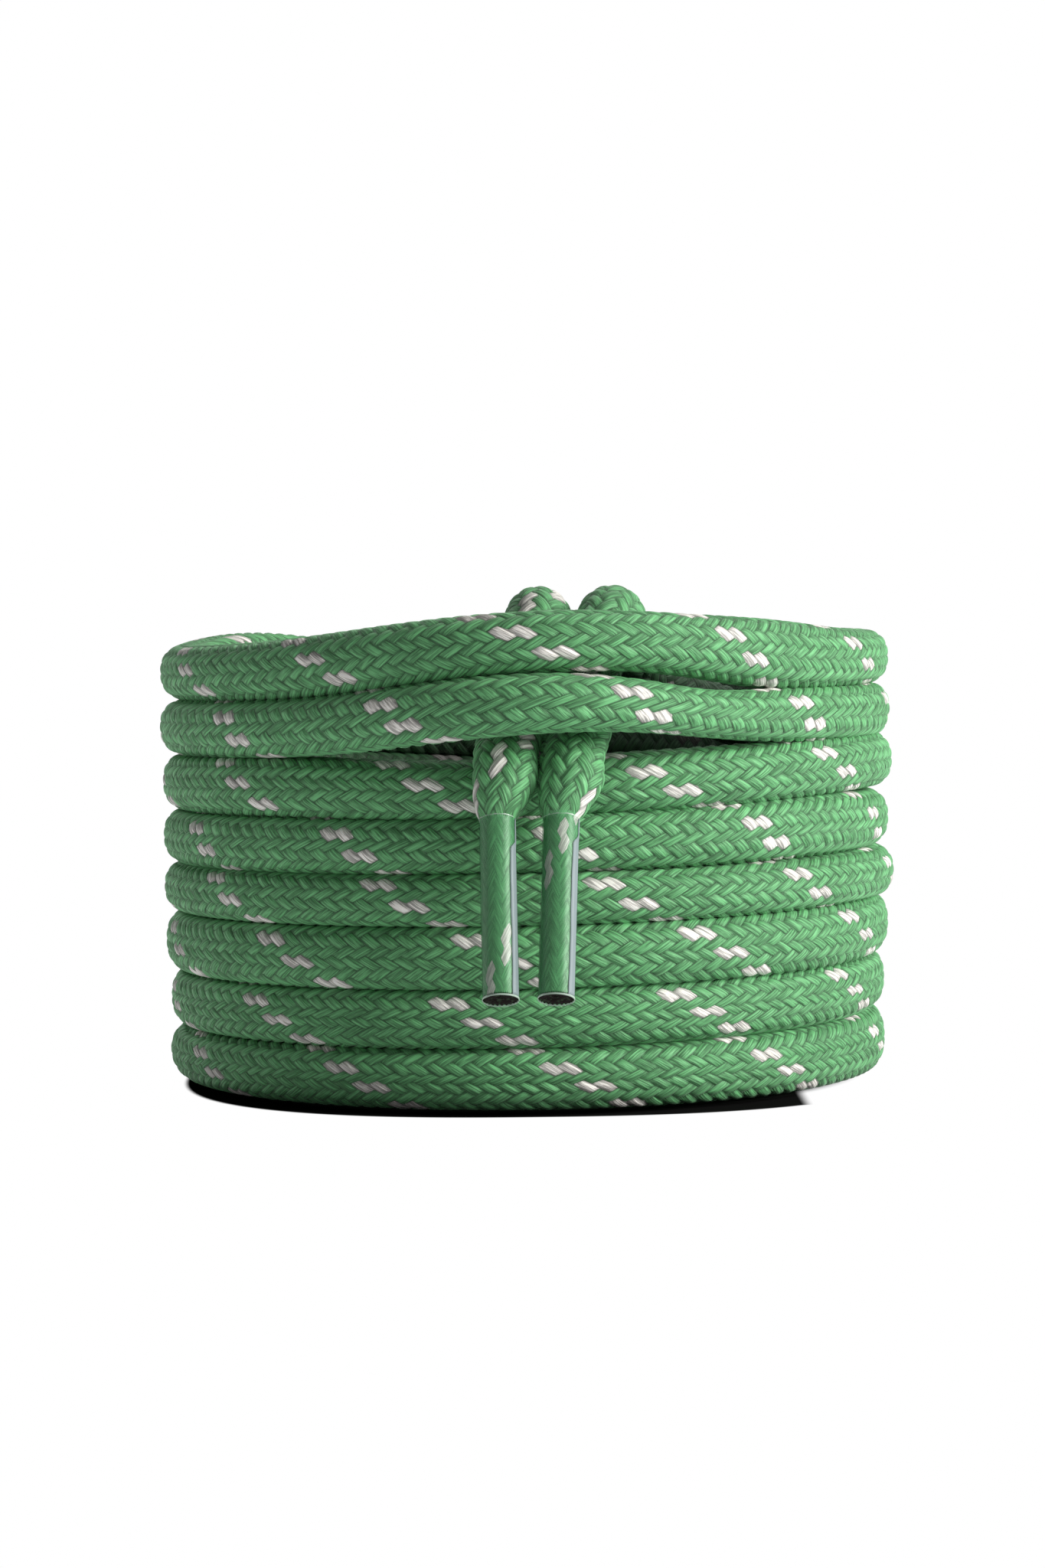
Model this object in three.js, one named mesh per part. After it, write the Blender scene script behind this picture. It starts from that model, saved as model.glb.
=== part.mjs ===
// A round braided boot lace, wound into a coil of eight stacked turns. Both ends are led
// across the hollow, over and behind the two upper turns and out under them, so that their
// tips hang side by side at the front.
// Millimetres, +Z up, the front faces -Y. The origin is under the middle of the whole part,
// on the surface that the coil stands on.
import * as THREE from 'three';

// ---------------------------------------------------------------- driving dimensions
const laceDiameter = 5.2; // the braid where nothing presses on it
const clearance = 0.3; // between neighbouring solids

const turnRadius = 31; // coil axis to the middle of the lace
const turnWidth = 5.6; // across the lace, pressed oval by its neighbours
const turnPitch = 5; // between neighbouring turns
const pitchChange = [0.2, 0, 0.5, -0.5, -0.1, 0.1, 0, -0.2]; // from the lowest turn up
const turnSwell = [-0.4, -0.4, 0, 0.1, 0.1, 0.1, 0.3, 0.2]; // how far each stands proud
const grooveDepth = 0.95; // between two turns
const edgeRounding = 1.4; // at the free upper and lower edges
const sideFlatness = 3; // the power that keeps the middle of a turn's side flat
const upperTurnCount = 2; // the turns that the ends are tucked behind

const bulgeAngle = 3; // degrees from the front where the upper turns stand out most
const bulgeSpread = 28; // degrees
const bulgeOut = 7.2; // how far the lower of the upper turns is pushed out
const bulgeOutTop = 4.6; // and the upper one
const liftAngle = 9; // degrees from the front where they are lifted most
const liftSpread = 30; // degrees
const bulgeLift = 2.3;
const pressAngle = 3; // degrees from the front where the ends press the turn below in
const pressSpread = 14; // degrees
const pressIn = 1.3;

const pinchThickness = 3.7; // the ends where they squeeze out between the turns
const pinchLength = 7; // along the lace
const pinchOut = 1.5; // how far in front of the middle of the turns it is

const agletDiameter = 3.1;
const agletLength = 16;
const agletWall = 0.25;
const agletFit = 0.15; // between the film and the braid inside it
const rimDepth = 0.4; // the film reaches this far past the cut end
const agletTilt = 24.6; // degrees that the tips stand out from the vertical
const neckLength = 2.4; // the braid tapers into the aglet over this length
const neckDiameter = 4.8;
const straightNeck = 1.5; // the lace is in line with its tip over this length
const coreDiameter = 1.1; // the filler yarns at the cut end
const coreFit = 0.15;
const coreRecess = 0.2;

// ---------------------------------------------------------------- mesh fineness
const turnSegments = 72; // round the coil
const laceSides = 12;
const sideHeights = [-1, -0.6, 0, 0.6, 1]; // the points up a turn's side, in half heights
const stepLength = 3.5; // along the ends
const neckRings = 4;
const agletSegments = 20;

const rad = THREE.MathUtils.degToRad;
const turnHeights = pitchChange.map((change) => turnPitch + change);
const coilHeight = turnHeights.reduce((sum, height) => sum + height, 0);
const laceRadius = laceDiameter / 2;
const innerWall = turnRadius - turnWidth / 2;
const climbRadius = innerWall - Math.abs(Math.min(...turnSwell)) - clearance - laceRadius;
const firstUpper = turnHeights.length - upperTurnCount;
const upperBase = turnHeights.slice(0, firstUpper).reduce((sum, height) => sum + height, 0);

// ---------------------------------------------------------------- the two ends
// Each end is a route from inside the coil to the neck of its tip. Points are [x, out, up]:
// out is towards the front from the middle of the turns, up is from the top of the coil.
const overTheTop = {
  left: [
    [-14.4, -51.6, -2.6],
    [-19.4, -44.4, -3.0],
    [-20.4, -36.8, -3.7],
    [-17.5, -29.0, -4.4],
    [-11.2, -23.2, -4.7],
    [-4.2, -18.8, -3.4],
    [0.3, -13.5, 0.2],
    [1.3, -8.4, 2.4],
    [1.1, -4.4, 1.3],
    [0.4, -2.0, -1.2],
    [-0.4, -0.9, -4.1],
    [-1.1, 0.7, -7.4],
  ],
  right: [
    [24.4, -32.6, -10.8],
    [22.7, -27.4, -8.6],
    [18.8, -24.0, -6.8],
    [14.2, -20.8, -4.9],
    [10.4, -17.0, -2.2],
    [8.3, -12.7, 1.0],
    [7.8, -8.3, 2.4],
    [6.9, -4.2, 1.3],
    [6.1, -2.0, -1.2],
    [5.3, -0.9, -4.1],
    [4.6, 0.9, -7.3],
  ],
};
const tips = {
  left: { mouth: [-2.4, 7.0, -14.4], lean: 0.5 },
  right: { mouth: [2.95, 7.0, -14.4], lean: -2.4 },
};
// The right end first climbs the inner wall, from and to these angles, up to this height.
const climb = { from: 215, to: 110, points: 9, up: -12.9, steepening: 1.4 };

/** A point given as [x, out, up] in the coil's own frame. */
function place([x, out, up]) {
  return new THREE.Vector3(x, -(turnRadius + out), coilHeight + up);
}

/** The way a tip points, down and to the front. */
function tipDirection(side) {
  const turn = new THREE.Euler(-rad(agletTilt), -rad(tips[side].lean), 0);
  return new THREE.Vector3(0, 0, -1).applyEuler(turn);
}

/** The lower end's climb up the inner wall, from the surface to where it leaves the wall. */
function climbPoints() {
  const points = [];
  const rise = coilHeight + climb.up - laceRadius;
  for (let i = 0; i < climb.points; i++) {
    const part = i / climb.points;
    const angle = rad(climb.from + (climb.to - climb.from) * part);
    points.push(
      new THREE.Vector3(
        climbRadius * Math.sin(angle),
        -climbRadius * Math.cos(angle),
        laceRadius + rise * part ** climb.steepening,
      ),
    );
  }
  return points;
}

function endRoute(side) {
  const points = overTheTop[side].map(place);
  const neck = place(tips[side].mouth).addScaledVector(tipDirection(side), -neckLength - clearance);
  points.push(neck.clone().addScaledVector(tipDirection(side), -straightNeck), neck);
  if (side === 'right') points.unshift(...climbPoints());
  return new THREE.CatmullRomCurve3(points, false, 'centripetal');
}

/** Flattens the tube where it is pinched: each ring of vertices keeps its width along X. */
function pinch(geometry, route, steps) {
  const centres = route.getSpacedPoints(steps);
  const squeeze = 1 - pinchThickness / laceDiameter;
  const vertices = geometry.getAttribute('position');
  const vertex = new THREE.Vector3();
  for (let i = 0; i < vertices.count; i++) {
    vertex.fromBufferAttribute(vertices, i);
    const centre = centres.reduce((a, b) =>
      b.distanceToSquared(vertex) < a.distanceToSquared(vertex) ? b : a,
    );
    const out = -centre.y - turnRadius - pinchOut;
    const up = centre.z - upperBase - bulgeLift;
    const amount = squeeze * Math.exp(-(out ** 2 + up ** 2) / pinchLength ** 2);
    vertex.y += (centre.y - vertex.y) * amount;
    vertex.z += (centre.z - vertex.z) * amount;
    vertices.setXYZ(i, vertex.x, vertex.y, vertex.z);
  }
  return geometry;
}

function endTube(side) {
  const route = endRoute(side);
  const steps = Math.round(route.getLength() / stepLength);
  const section = new THREE.Shape(
    Array.from({ length: laceSides }, (_, i) => {
      const angle = (2 * Math.PI * i) / laceSides;
      return new THREE.Vector2(laceRadius * Math.cos(angle), laceRadius * Math.sin(angle));
    }),
  );
  const tube = new THREE.ExtrudeGeometry(section, { steps, extrudePath: route });
  return pinch(tube, route, steps);
}

// ---------------------------------------------------------------- the coiled turns
/** How far the side of a turn stands out at a height from -1 to 1 across it. */
function sideOf(turn, height, rounding) {
  return turnWidth / 2 + turnSwell[turn] - rounding * Math.abs(height) ** sideFlatness;
}

/** The outline of turns first to last, with a groove between each two of them. */
function turnsOutline(first, last, gapBelow) {
  const outer = [];
  const inner = [];
  let base = turnHeights.slice(0, first).reduce((sum, height) => sum + height, 0);
  for (let turn = first; turn <= last; turn++) {
    const half = turnHeights[turn] / 2;
    for (const height of sideHeights) {
      const free = (turn === first && height < 0) || (turn === last && height > 0);
      if (height === 1 && !free) continue;
      const rounding = free ? edgeRounding : grooveDepth;
      const side = sideOf(turn, height, rounding);
      const lift = turn === first && height === -1 ? gapBelow : 0;
      const z = base + half * (1 + height) + lift;
      outer.push(new THREE.Vector2(turnRadius + side, z));
      inner.unshift(new THREE.Vector2(turnRadius - side, z));
    }
    base += turnHeights[turn];
  }
  return [...outer, ...inner, outer[0].clone()];
}

/** A ring of stacked turns. Its vertices are then moved by shift(angle, height) = [out, up]. */
function turnsRing(first, last, gapBelow, shift) {
  const ring = new THREE.LatheGeometry(turnsOutline(first, last, gapBelow), turnSegments);
  ring.rotateX(Math.PI / 2);
  const vertices = ring.getAttribute('position');
  for (let i = 0; i < vertices.count; i++) {
    const [x, y, z] = [vertices.getX(i), vertices.getY(i), vertices.getZ(i)];
    const [out, up] = shift(Math.atan2(x, -y), z);
    const grow = 1 + out / Math.hypot(x, y);
    vertices.setXYZ(i, x * grow, y * grow, z + up);
  }
  return ring;
}

/** A smooth hump, 1 at its middle, for an angle round the coil. */
function bell(angle, middle, spread) {
  return Math.exp(-(((angle - rad(middle)) / rad(spread)) ** 2));
}

function upperShift(angle, z) {
  const part = (z - upperBase) / (coilHeight - upperBase);
  const out = THREE.MathUtils.lerp(bulgeOut, bulgeOutTop, part);
  return [out * bell(angle, bulgeAngle, bulgeSpread), bulgeLift * bell(angle, liftAngle, liftSpread)];
}

function lowerShift(angle, z) {
  const topTurn = upperBase - turnHeights[firstUpper - 1];
  const part = THREE.MathUtils.smoothstep(z, topTurn, upperBase);
  return [-pressIn * part * bell(angle, pressAngle, pressSpread), 0];
}

// ---------------------------------------------------------------- the tips
// Outlines are [radius, distance from the mouth towards the cut end].
function turned(outline) {
  const points = outline.map(([radius, down]) => new THREE.Vector2(radius, -down));
  return new THREE.LatheGeometry(points, agletSegments).rotateX(Math.PI / 2);
}

/** The braid as it tapers from its neck into the aglet, with a bore for the filler yarns. */
function tipBraid() {
  const packed = agletDiameter / 2 - agletWall - agletFit;
  const cut = agletLength - rimDepth;
  const bore = coreDiameter / 2 + coreFit;
  const taper = Array.from({ length: neckRings + 1 }, (_, i) => {
    const part = i / neckRings;
    const wide = Math.sin((part * Math.PI) / 2);
    const radius = THREE.MathUtils.lerp(packed, neckDiameter / 2, wide);
    return [radius, THREE.MathUtils.lerp(-clearance, -neckLength, part)];
  });
  return turned([[bore, cut], [packed, cut], ...taper, [bore, -neckLength], [bore, cut]]);
}

function tipCore() {
  const end = agletLength - rimDepth - coreRecess;
  return turned([
    [0, end],
    [coreDiameter / 2, end],
    [coreDiameter / 2, -neckLength],
    [0, -neckLength],
  ]);
}

function aglet() {
  const outer = agletDiameter / 2;
  const inner = outer - agletWall;
  return turned([
    [inner, agletLength],
    [outer, agletLength],
    [outer, 0],
    [inner, 0],
    [inner, agletLength],
  ]);
}

// ---------------------------------------------------------------- materials and assembly
const braidGreen = new THREE.MeshStandardMaterial({ color: '#3f9a57', roughness: 0.85 });
const packedGreen = new THREE.MeshStandardMaterial({ color: '#2f7d4a', roughness: 0.6 });
const fillerYarn = new THREE.MeshStandardMaterial({ color: '#2a2320', roughness: 0.95 });
const clearFilm = new THREE.MeshStandardMaterial({ color: '#a9c9bd', roughness: 0.12 });

function piece(name, geometry, material) {
  const mesh = new THREE.Mesh(geometry, material);
  mesh.name = name;
  return mesh;
}

function tip(side) {
  const group = new THREE.Group();
  group.add(piece(`${side}_tip_braid`, tipBraid(), packedGreen));
  group.add(piece(`${side}_tip_core`, tipCore(), fillerYarn));
  group.add(piece(`${side}_aglet`, aglet(), clearFilm));
  group.position.copy(place(tips[side].mouth));
  group.rotation.set(-rad(agletTilt), -rad(tips[side].lean), 0);
  return group;
}

const lowerTurns = turnsRing(0, firstUpper - 1, 0, lowerShift);
const upperTurns = turnsRing(firstUpper, turnHeights.length - 1, clearance, upperShift);

const lace = new THREE.Group();
lace.add(piece('lower_turns', lowerTurns, braidGreen));
lace.add(piece('upper_turns', upperTurns, braidGreen));
for (const side of ['left', 'right']) {
  lace.add(piece(`${side}_end`, endTube(side), braidGreen));
  lace.add(tip(side));
}

// The origin goes under the middle of the whole part.
lace.updateMatrixWorld(true);
const box = new THREE.Box3().setFromObject(lace, true);
const middle = box.getCenter(new THREE.Vector3());
lace.position.set(-middle.x, -middle.y, -box.min.z);
lace.updateMatrixWorld(true);

export default lace;
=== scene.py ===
# %% [markdown]
# # A coiled boot lace
# One round braided lace, 1.8 m long, is wound into eight stacked turns. Its two ends go over
# the top of the coil, behind the two upper turns, and hang down at the front, each in a clear
# film tip called an aglet. Almost everything that shows is one long piece of braid, so most of
# this lesson is about how to lay a braid along a curve.
#
# The packed model comes first. It fixes where everything is, and nothing below moves it.

# %% Load the frame
import math

import bpy
import numpy as np
from mathutils import Euler, Matrix, Vector


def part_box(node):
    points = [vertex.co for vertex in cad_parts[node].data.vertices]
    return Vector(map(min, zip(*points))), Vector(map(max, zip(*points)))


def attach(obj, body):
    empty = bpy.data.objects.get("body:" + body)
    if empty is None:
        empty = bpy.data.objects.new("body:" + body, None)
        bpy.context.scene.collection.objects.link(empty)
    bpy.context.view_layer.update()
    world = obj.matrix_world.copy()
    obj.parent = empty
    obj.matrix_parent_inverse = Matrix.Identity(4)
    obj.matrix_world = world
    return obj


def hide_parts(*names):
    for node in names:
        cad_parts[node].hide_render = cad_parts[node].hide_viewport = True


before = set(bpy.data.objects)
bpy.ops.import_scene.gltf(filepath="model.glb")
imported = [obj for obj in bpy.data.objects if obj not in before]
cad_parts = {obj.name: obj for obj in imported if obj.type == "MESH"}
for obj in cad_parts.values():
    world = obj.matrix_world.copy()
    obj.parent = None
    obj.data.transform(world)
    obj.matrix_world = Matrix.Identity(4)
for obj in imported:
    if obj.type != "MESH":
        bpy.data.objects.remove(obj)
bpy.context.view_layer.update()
scene = bpy.context.scene
print("nodes:", sorted(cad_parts))

# %% [markdown]
# ## Camera
# The coil is seen from straight in front, from just above its top, so its far side hardly
# shows. A small object looks small only if the lens stands close: here it stands 35 cm from the
# coil's axis. All heights are measured from the surface that the coil stands on.

# %% Camera
turns_low, turns_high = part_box("lower_turns")
coil_axis = (turns_low + turns_high) / 2
CAMERA_DISTANCE = 0.348
CAMERA_HEIGHT = 0.0418
CAMERA_TILT = math.radians(2.45)
CAMERA_ROLL = math.radians(0.7)
VIEW_ANGLE = math.radians(23.84)

camera = bpy.data.objects.new("camera", bpy.data.cameras.new("camera"))
scene.collection.objects.link(camera)
camera.location = (coil_axis.x - 0.0001, coil_axis.y - CAMERA_DISTANCE, CAMERA_HEIGHT)
camera.rotation_euler = (math.pi / 2 - CAMERA_TILT, CAMERA_ROLL, 0)
camera.data.sensor_fit = "VERTICAL"
camera.data.angle = VIEW_ANGLE
camera.data.clip_start = 0.01
scene.camera = camera
print("camera at", [round(c, 3) for c in camera.location])

# %% [markdown]
# ## The route of the lace
# A lace is measured along its middle line. The coil's turns are worked out by a loop: each one
# lies on the one below, and climbs to the next level at the back left, where the lace comes in
# at the bottom and leaves at the top. The loose ends are a list of given points, the same ones
# that the solids follow.

# %% The coil's turns
LACE = 0.0052
TURN_RADIUS = 0.031
TURN_WIDTH = 0.0056
TURN_HEIGHTS = np.array([5.2, 5.0, 5.5, 4.5, 4.9, 5.1, 5.0, 4.8]) / 1000
TURN_SWELL = np.array([-0.4, -0.4, 0, 0.1, 0.1, 0.1, 0.3, 0.2, 0.2]) / 1000
FIRST_UPPER = 6
COIL_HEIGHT = TURN_HEIGHTS.sum()
TURN_START = -95  # degrees from the front, where the lowest turn begins
CLIMB_START = 90
FRONT_CLIMB = 0.2  # the share of the climb that comes before CLIMB_START
PRESSED = 0.0002  # how far each turn's top and bottom sink into its neighbours
# The top turn's rise at the back left, where it passes over the lace that leaves.
BACK_LIFT = {"at": 6 * 360 + 235, "spread": 27, "by": 0.0015}
# The ends behind the two upper turns push them out and up at the front, the lower one more, and
# the turn below them gives way inwards. Angles and spreads are in degrees.
PUSHED_OUT = {"at": 3, "spread": 28, "by": 0.0072, "less_above": 0.0026}
PUSHED_UP = {"at": 9, "spread": 30, "by": 0.0023}
TUCKED_IN = {"at": 3, "spread": 14, "by": 0.00065}

# Where a turn has settled out of line. The turn, the angle within it, the spread of the place,
# then how far it lies up, how far out, and how much is added to its half height, in metres.
SETTLED = [
    (7, 42, 20, 0, 0, 0.0005),
    (7, 22, 14, -0.0001, 0, -0.0001),
    (7, -20, 24, 0.0002, 0, 0.0003),
    (6, 26, 17, -0.0009, -0.0003, -0.0006),
    (5, -8, 22, -0.0005, 0, 0),
    (5, 66, 32, 0.0006, 0.0005, -0.0001),
    (4, 50, 24, 0.0004, 0, 0.0003),
    (3, 90, 20, -0.0002, 0.0005, 0),
]

levels = np.append(0, np.cumsum(TURN_HEIGHTS))
middles = np.append(levels[:-1] + TURN_HEIGHTS / 2, COIL_HEIGHT + TURN_HEIGHTS[-1] / 2)


def smooth(part):
    """0 to 1 with level ends."""
    part = np.clip(part, 0, 1)
    return part * part * (3 - 2 * part)


def bell(value, middle, spread):
    return np.exp(-(((value - middle) / spread) ** 2))


def swell(angle, shape):
    """How far a bell-shaped swell reaches at an angle."""
    return shape["by"] * bell(angle, shape["at"], shape["spread"])


def polar(angle, radius, height):
    """A point at an angle in degrees from the front, counted to the right."""
    turn = math.radians(angle)
    return np.array([radius * math.sin(turn), -radius * math.cos(turn), height])


def climbed(angle):
    """How much of the way to the next level a turn has climbed, at an angle within it."""
    if angle < CLIMB_START:
        return FRONT_CLIMB * (angle - TURN_START) / (CLIMB_START - TURN_START)
    part = (angle - CLIMB_START) / (TURN_START + 360 - CLIMB_START)
    return FRONT_CLIMB + (1 - FRONT_CLIMB) * smooth(part)


def split_angle(angle):
    """The turn that an angle from the coil's start lies in, and the angle within it."""
    turn = int((angle - TURN_START) // 360)
    return turn, angle - 360 * turn


print("middles of the turns at the front, in mm:", (1000 * middles[:-1]).round(1))

# %% [markdown]
# A turn that only climbed would stand on the surface at one point. The lowest turn of a real
# coil sags until it rests nearly all round. The upper turns give way to what pushes at them, and
# a few places are listed one by one, because no coil settles evenly.

# %% A point of the coil
RESTING = 0.5  # the share of the lowest turn's climb that it makes up for by lying lower
RESTING_ENDS = 60  # degrees after CLIMB_START


def sag(angle):
    """How far the lowest turn's middle lies below a full climb, so that it rests all round."""
    turn, within = split_angle(angle)
    if turn > 0:
        return 0
    resting = RESTING * (1 - smooth((within - CLIMB_START) / RESTING_ENDS))
    return resting * climbed(within) * (middles[1] - middles[0]) - PRESSED / 2


def settled(angle, line):
    """How much of what is written in a line of SETTLED holds at an angle from the coil's start."""
    return bell(angle, 360 * line[0] + line[1], line[2])


def coil_point(angle):
    turn, within = split_angle(angle)
    height = middles[turn] + climbed(within) * (middles[turn + 1] - middles[turn]) - sag(angle)
    height += swell(angle, BACK_LIFT)
    radius = TURN_RADIUS
    if turn >= FIRST_UPPER:
        share = (middles[turn] - levels[FIRST_UPPER]) / (COIL_HEIGHT - levels[FIRST_UPPER])
        less = share * PUSHED_OUT["less_above"] / PUSHED_OUT["by"]
        radius += (1 - less) * swell(within, PUSHED_OUT)
        height += swell(within, PUSHED_UP)
    if turn == FIRST_UPPER - 1:
        radius -= swell(within, TUCKED_IN)
    for line in SETTLED:
        height += line[3] * settled(angle, line)
        radius += line[4] * settled(angle, line)
    return polar(angle, radius, height)


print("coil height in mm:", round(1000 * COIL_HEIGHT, 2))

# %% [markdown]
# A loop can't give the way that the two ends take over the top and behind the upper turns, so
# their points are listed. Each point is how far to the right, how far in front of the middle of
# the turns, and how far above the top of the coil it lies, in metres. Below the last of them
# comes the tip, which is straight, because the film makes it stiff.

# %% The loose ends
OVER_THE_TOP = {
    "left": [
        (-0.0144, -0.0516, -0.0026),
        (-0.0194, -0.0444, -0.0030),
        (-0.0204, -0.0368, -0.0037),
        (-0.0175, -0.0290, -0.0044),
        (-0.0112, -0.0232, -0.0047),
        (-0.0042, -0.0188, -0.0034),
        (0.0003, -0.0135, 0.0002),
        (0.0013, -0.0084, 0.0024),
        (0.0011, -0.0044, 0.0013),
        (0.0004, -0.0020, -0.0012),
        (-0.0004, -0.0009, -0.0041),
        (-0.0011, 0.0007, -0.0074),
    ],
    "right": [
        (0.0244, -0.0326, -0.0108),
        (0.0227, -0.0274, -0.0086),
        (0.0188, -0.0240, -0.0068),
        (0.0142, -0.0208, -0.0049),
        (0.0104, -0.0170, -0.0022),
        (0.0083, -0.0127, 0.0010),
        (0.0078, -0.0083, 0.0024),
        (0.0069, -0.0042, 0.0013),
        (0.0061, -0.0020, -0.0012),
        (0.0053, -0.0009, -0.0041),
        (0.0046, 0.0009, -0.0073),
    ],
}
MOUTHS = {"left": (-0.0024, 0.0070, -0.0144), "right": (0.00295, 0.0070, -0.0144)}
LEANS = {"left": 0.5, "right": -2.4}
AGLET_TILT = 24.6
AGLET_LENGTH = 0.016
AGLET_DIAMETER = 0.0031
FILM_THICKNESS = 0.00006
RIM_DEPTH = 0.00012  # how far inside the film's rim the lace is cut
NECK_LENGTH = 0.0027
STRAIGHT_NECK = 0.0015


def place(point):
    right, out, up = point
    return np.array([right, -(TURN_RADIUS + out), COIL_HEIGHT + up])


def tip_turn(side):
    """How a tip is turned from hanging straight down."""
    return Euler((-math.radians(AGLET_TILT), -math.radians(LEANS[side]), 0), "ZYX").to_matrix()


def tip_points(side):
    """From the straight stretch above the neck down to the cut end."""
    mouth = place(MOUTHS[side])
    down = np.array(tip_turn(side) @ Vector((0, 0, -1)))
    cut = AGLET_LENGTH - RIM_DEPTH
    return [mouth + down * s for s in (-NECK_LENGTH - STRAIGHT_NECK, -NECK_LENGTH, 0, cut / 2, cut)]


for side in MOUTHS:
    print(side, "film starts at, in mm:", [round(1000 * c, 1) for c in place(MOUTHS[side])])

# %% [markdown]
# The right end comes from the lowest turn, so it first has to get up inside the coil. It leans
# on the inner wall on its way, and climbs slowly at first and then more steeply.

# %% Up the inner wall
CLIMB = {"from": 215, "to": 110, "points": 9, "up": -0.0129, "steepening": 1.4}
CLIMB_RADIUS = 0.0249


def climb_points():
    """From the surface up the inner wall of the coil, to where the right end leaves it."""
    rise = COIL_HEIGHT + CLIMB["up"] - LACE / 2
    points = []
    for i in range(CLIMB["points"]):
        part = i / CLIMB["points"]
        angle = CLIMB["from"] + (CLIMB["to"] - CLIMB["from"]) * part
        points.append(polar(angle, CLIMB_RADIUS, LACE / 2 + rise * part ** CLIMB["steepening"]))
    return points


print("the right end climbs, in mm:", round(1000 * (climb_points()[-1][2] - LACE / 2), 1))

# %% [markdown]
# The two joins are at the back left. At the bottom the lace comes off the inner wall into the
# lowest turn, and at the top it leaves the last turn for the middle of the coil, a little above
# the turn that climbs past it.

# %% The whole route
JOIN_ANGLE = -145
LEAVE_ANGLE = 7 * 360 + 112
LEAVE_POINTS = [
    (130, 0.0305, 0.0386),
    (150, 0.0290, 0.0386),
    (171, 0.0272, 0.0383),
    (193, 0.0258, 0.0379),
]
POINT_EVERY = 10  # degrees of the coil


def join_points():
    angles = np.linspace(JOIN_ANGLE, TURN_START, 6)[1:-1]
    shares = smooth((angles - JOIN_ANGLE) / (TURN_START - JOIN_ANGLE))
    reach = TURN_RADIUS - CLIMB_RADIUS
    return [polar(a, CLIMB_RADIUS + reach * s, LACE / 2) for a, s in zip(angles, shares)]


def route_points():
    right = [place(p) for p in OVER_THE_TOP["right"]]
    points = tip_points("right")[::-1] + right[::-1] + climb_points()[::-1] + join_points()
    points += [coil_point(a) for a in np.arange(TURN_START, LEAVE_ANGLE, POINT_EVERY)]
    points += [polar(*p) for p in LEAVE_POINTS]
    points += [place(p) for p in OVER_THE_TOP["left"]] + tip_points("left")
    return np.array(points)


print("points to pass through:", len(route_points()))

# %% [markdown]
# A smooth curve is drawn through all these points, and cut into steps of 0.4 mm. Averaging each
# step with its neighbours takes out the small kinks that a stiff lace couldn't have.

# %% The curve
STEP = 0.0004
EASE = 0.0013  # how far the curve's small kinks are spread


def through(points, steps=24):
    """A smooth curve through the points: a centripetal Catmull-Rom spline."""
    points = np.vstack([2 * points[0] - points[1], points, 2 * points[-1] - points[-2]])
    knots = np.append(0, np.cumsum(np.linalg.norm(np.diff(points, axis=0), axis=1) ** 0.5))
    pieces = []
    for i in range(1, len(points) - 2):
        p, t = points[i - 1 : i + 3], knots[i - 1 : i + 3]
        u = np.linspace(t[1], t[2], steps, endpoint=False)[:, None]
        a = [((t[j + 1] - u) * p[j] + (u - t[j]) * p[j + 1]) / (t[j + 1] - t[j]) for j in range(3)]
        b = [((t[j + 2] - u) * a[j] + (u - t[j]) * a[j + 1]) / (t[j + 2] - t[j]) for j in range(2)]
        pieces.append(((t[2] - u) * b[0] + (u - t[1]) * b[1]) / (t[2] - t[1]))
    return np.vstack(pieces + [points[-2:-1]])


def evenly(points, step):
    """The same line with points at even distances, and its length."""
    lengths = np.append(0, np.cumsum(np.linalg.norm(np.diff(points, axis=0), axis=1)))
    at = np.linspace(0, lengths[-1], int(round(lengths[-1] / step)) + 1)
    return np.stack([np.interp(at, lengths, points[:, i]) for i in range(3)], 1), lengths[-1]


def eased(points, step, spread):
    """Averages each point with its neighbours along the line. The ends stay where they are."""
    reach = int(4 * spread / step)
    weights = np.exp(-0.5 * (np.arange(-reach, reach + 1) * step / spread) ** 2)
    before = 2 * points[0] - points[reach:0:-1]
    after = 2 * points[-1] - points[-2 : -reach - 2 : -1]
    padded = np.vstack([before, points, after])
    weights /= weights.sum()
    return np.stack([np.convolve(padded[:, i], weights, "valid") for i in range(3)], 1)


route, _ = evenly(through(route_points()), STEP)
route, LACE_LENGTH = evenly(eased(route, STEP, EASE), STEP)
route += np.array([coil_axis.x, coil_axis.y, 0])
along = np.linspace(0, LACE_LENGTH, len(route))
print("lace length in m:", round(LACE_LENGTH, 4), "points:", len(route))

# %% [markdown]
# ## Which way is out
# Every place on the lace needs two directions across it. `outward` is level and points to the
# right-hand side of someone who walks along the lace. In the coil that is straight away from
# the axis. `upward` is square to it.

# %% Directions across the lace
ahead = np.gradient(route, axis=0)
ahead /= np.linalg.norm(ahead, axis=1)[:, None]
outward = np.cross(ahead, (0, 0, 1))
outward /= np.linalg.norm(outward, axis=1)[:, None]
upward = np.cross(outward, ahead)

COIL_EASE = 25  # degrees over which the lace takes on the shape that it has in the coil
coil_angle = np.arctan2(route[:, 0] - coil_axis.x, coil_axis.y - route[:, 1])
coil_angle = np.degrees(np.unwrap(coil_angle)) - 360
in_coil = smooth((coil_angle - TURN_START) / COIL_EASE)
in_coil *= smooth((LEAVE_ANGLE - coil_angle) / COIL_EASE)
fronts = np.interp(360 * np.arange(len(TURN_HEIGHTS)), coil_angle, along)
print("the turns pass the front at, in mm:", (1000 * fronts).round())

# %% [markdown]
# ## How the lace is pressed
# A free lace is round. In the coil its neighbours press it into a rounded square, a little
# wider than high.

# %% Half sizes in the coil
LAST_HEIGHT = 0.0049  # of the lace that leaves the coil
SQUARED = 0.5  # how far the power in the turns' outline is over 2, the power of an ellipse

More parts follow.
